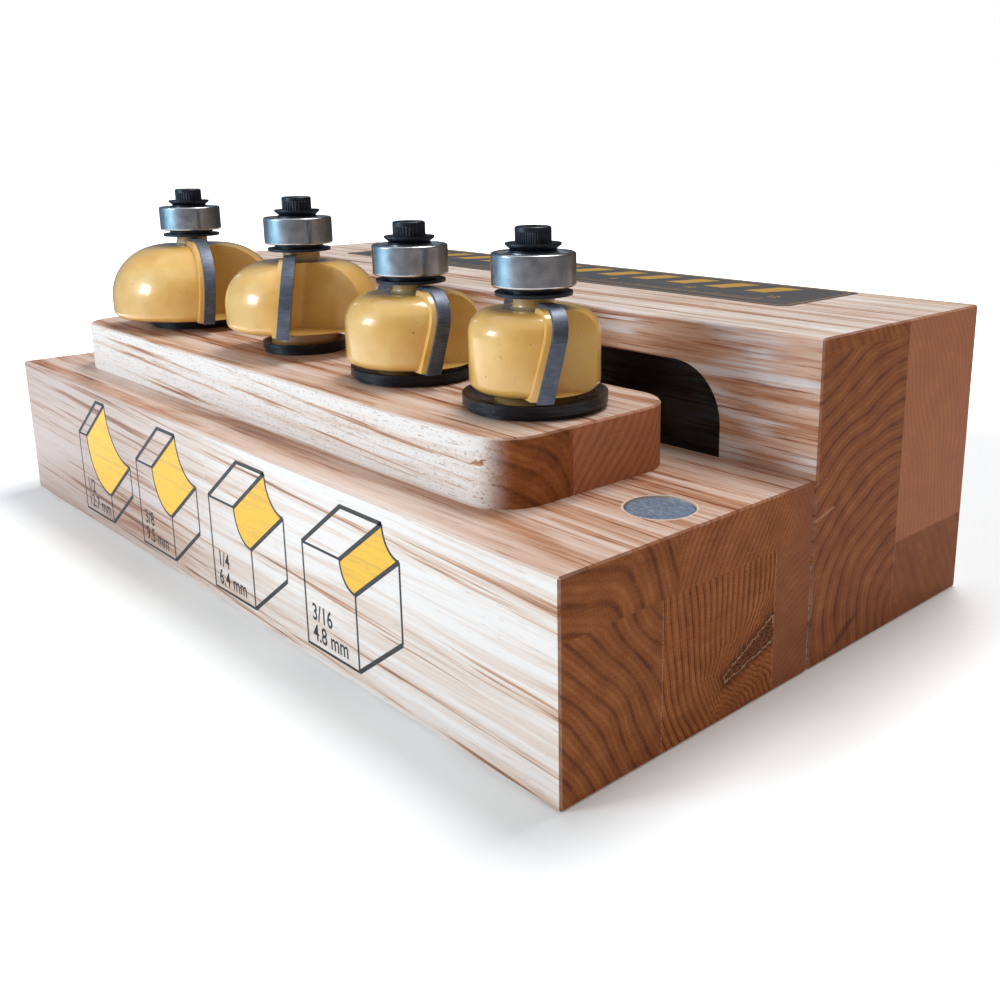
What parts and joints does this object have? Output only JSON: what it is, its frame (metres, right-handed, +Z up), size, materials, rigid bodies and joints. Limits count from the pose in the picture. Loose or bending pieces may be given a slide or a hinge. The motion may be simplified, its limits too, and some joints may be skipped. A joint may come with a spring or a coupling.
{
  "type": "router bit box",
  "caption": "Wooden storage box for piloted cove router bits: a block base with bushings that hold the bits upright, and a hollow lid with magnets, stood open behind it.",
  "frame": {"origin": "centre of the base block's underside", "axes": "+X to the right along the row of bits, +Y back toward the lid, +Z up"},
  "size_m": [0.184, 0.1002, 0.0707],
  "materials": {
    "edge_glued_wood": "satin lacquer",
    "nickel_magnet": "scratched nickel plate",
    "black_plastic": "satin",
    "yellow_coated_steel": "gloss coating",
    "carbide": "ground",
    "bearing_steel": "polished",
    "shield_steel": "satin",
    "polished_steel": "mirror",
    "black_steel": "satin black oxide"
  },
  "bodies": {
    "base": {"base_block": "edge_glued_wood", "base_magnet_left": "nickel_magnet", "base_magnet_right": "nickel_magnet", "bit1_bushing": "black_plastic", "bit2_bushing": "black_plastic", "bit3_bushing": "black_plastic", "bit4_bushing": "black_plastic"},
    "lid": {"lid_block": "edge_glued_wood", "lid_magnet_left": "nickel_magnet", "lid_magnet_right": "nickel_magnet"},
    "bit1": {"bit1_body": "yellow_coated_steel", "bit1_carbide_cutters": "carbide", "bit1_lower_washer": "black_steel", "bit1_bearing_inner_ring": "bearing_steel", "bit1_upper_washer": "black_steel", "bit1_cap_screw": "black_steel"},
    "bit1_bearing": {"bit1_bearing_outer_ring": "bearing_steel", "bit1_bearing_shields": "shield_steel"},
    "bit1_balls": {"bit1_bearing_balls": "polished_steel", "bit1_bearing_cage": "shield_steel"},
    "bit2": {"bit2_body": "yellow_coated_steel", "bit2_carbide_cutters": "carbide", "bit2_lower_washer": "black_steel", "bit2_bearing_inner_ring": "bearing_steel", "bit2_upper_washer": "black_steel", "bit2_cap_screw": "black_steel"},
    "bit2_bearing": {"bit2_bearing_outer_ring": "bearing_steel", "bit2_bearing_shields": "shield_steel"},
    "bit2_balls": {"bit2_bearing_balls": "polished_steel", "bit2_bearing_cage": "shield_steel"},
    "bit3": {"bit3_body": "yellow_coated_steel", "bit3_carbide_cutters": "carbide", "bit3_lower_washer": "black_steel", "bit3_bearing_inner_ring": "bearing_steel", "bit3_upper_washer": "black_steel", "bit3_cap_screw": "black_steel"},
    "bit3_bearing": {"bit3_bearing_outer_ring": "bearing_steel", "bit3_bearing_shields": "shield_steel"},
    "bit3_balls": {"bit3_bearing_balls": "polished_steel", "bit3_bearing_cage": "shield_steel"},
    "bit4": {"bit4_body": "yellow_coated_steel", "bit4_carbide_cutters": "carbide", "bit4_lower_washer": "black_steel", "bit4_bearing_inner_ring": "bearing_steel", "bit4_upper_washer": "black_steel", "bit4_cap_screw": "black_steel"},
    "bit4_bearing": {"bit4_bearing_outer_ring": "bearing_steel", "bit4_bearing_shields": "shield_steel"},
    "bit4_balls": {"bit4_bearing_balls": "polished_steel", "bit4_bearing_cage": "shield_steel"}
  },
  "joints": [
    {"name": "lid_slide", "type": "slide", "parent": "base", "child": "lid", "axis": [0, 1, 0], "range_m": [0, 0.1]},
    {"name": "bit1_lift", "type": "slide", "parent": "base", "child": "bit1", "axis": [0, 0, 1], "range_m": [0, 0.04]},
    {"name": "bit1_bearing_spin", "type": "hinge", "parent": "bit1", "child": "bit1_bearing", "pos_m": [0.058, 0.001, 0.06194], "axis": [0, 0, 1], "continuous": true},
    {"name": "bit1_ball_orbit", "type": "hinge", "parent": "bit1", "child": "bit1_balls", "pos_m": [0.058, 0.001, 0.06194], "axis": [0, 0, 1], "continuous": true},
    {"name": "bit2_lift", "type": "slide", "parent": "base", "child": "bit2", "axis": [0, 0, 1], "range_m": [0, 0.04]},
    {"name": "bit2_bearing_spin", "type": "hinge", "parent": "bit2", "child": "bit2_bearing", "pos_m": [0.0269, 0.001, 0.06124], "axis": [0, 0, 1], "continuous": true},
    {"name": "bit2_ball_orbit", "type": "hinge", "parent": "bit2", "child": "bit2_balls", "pos_m": [0.0269, 0.001, 0.06124], "axis": [0, 0, 1], "continuous": true},
    {"name": "bit3_lift", "type": "slide", "parent": "base", "child": "bit3", "axis": [0, 0, 1], "range_m": [0, 0.04]},
    {"name": "bit3_bearing_spin", "type": "hinge", "parent": "bit3", "child": "bit3_bearing", "pos_m": [-0.0093, 0.001, 0.06419], "axis": [0, 0, 1], "continuous": true},
    {"name": "bit3_ball_orbit", "type": "hinge", "parent": "bit3", "child": "bit3_balls", "pos_m": [-0.0093, 0.001, 0.06419], "axis": [0, 0, 1], "continuous": true},
    {"name": "bit4_lift", "type": "slide", "parent": "base", "child": "bit4", "axis": [0, 0, 1], "range_m": [0, 0.04]},
    {"name": "bit4_bearing_spin", "type": "hinge", "parent": "bit4", "child": "bit4_bearing", "pos_m": [-0.0556, 0.001, 0.06449], "axis": [0, 0, 1], "continuous": true},
    {"name": "bit4_ball_orbit", "type": "hinge", "parent": "bit4", "child": "bit4_balls", "pos_m": [-0.0556, 0.001, 0.06449], "axis": [0, 0, 1], "continuous": true}
  ],
  "couplings": [
    {"joint": "bit1_ball_orbit", "follows": "bit1_bearing_spin", "ratio": 0.5878},
    {"joint": "bit2_ball_orbit", "follows": "bit2_bearing_spin", "ratio": 0.5878},
    {"joint": "bit3_ball_orbit", "follows": "bit3_bearing_spin", "ratio": 0.5878},
    {"joint": "bit4_ball_orbit", "follows": "bit4_bearing_spin", "ratio": 0.5878}
  ]
}
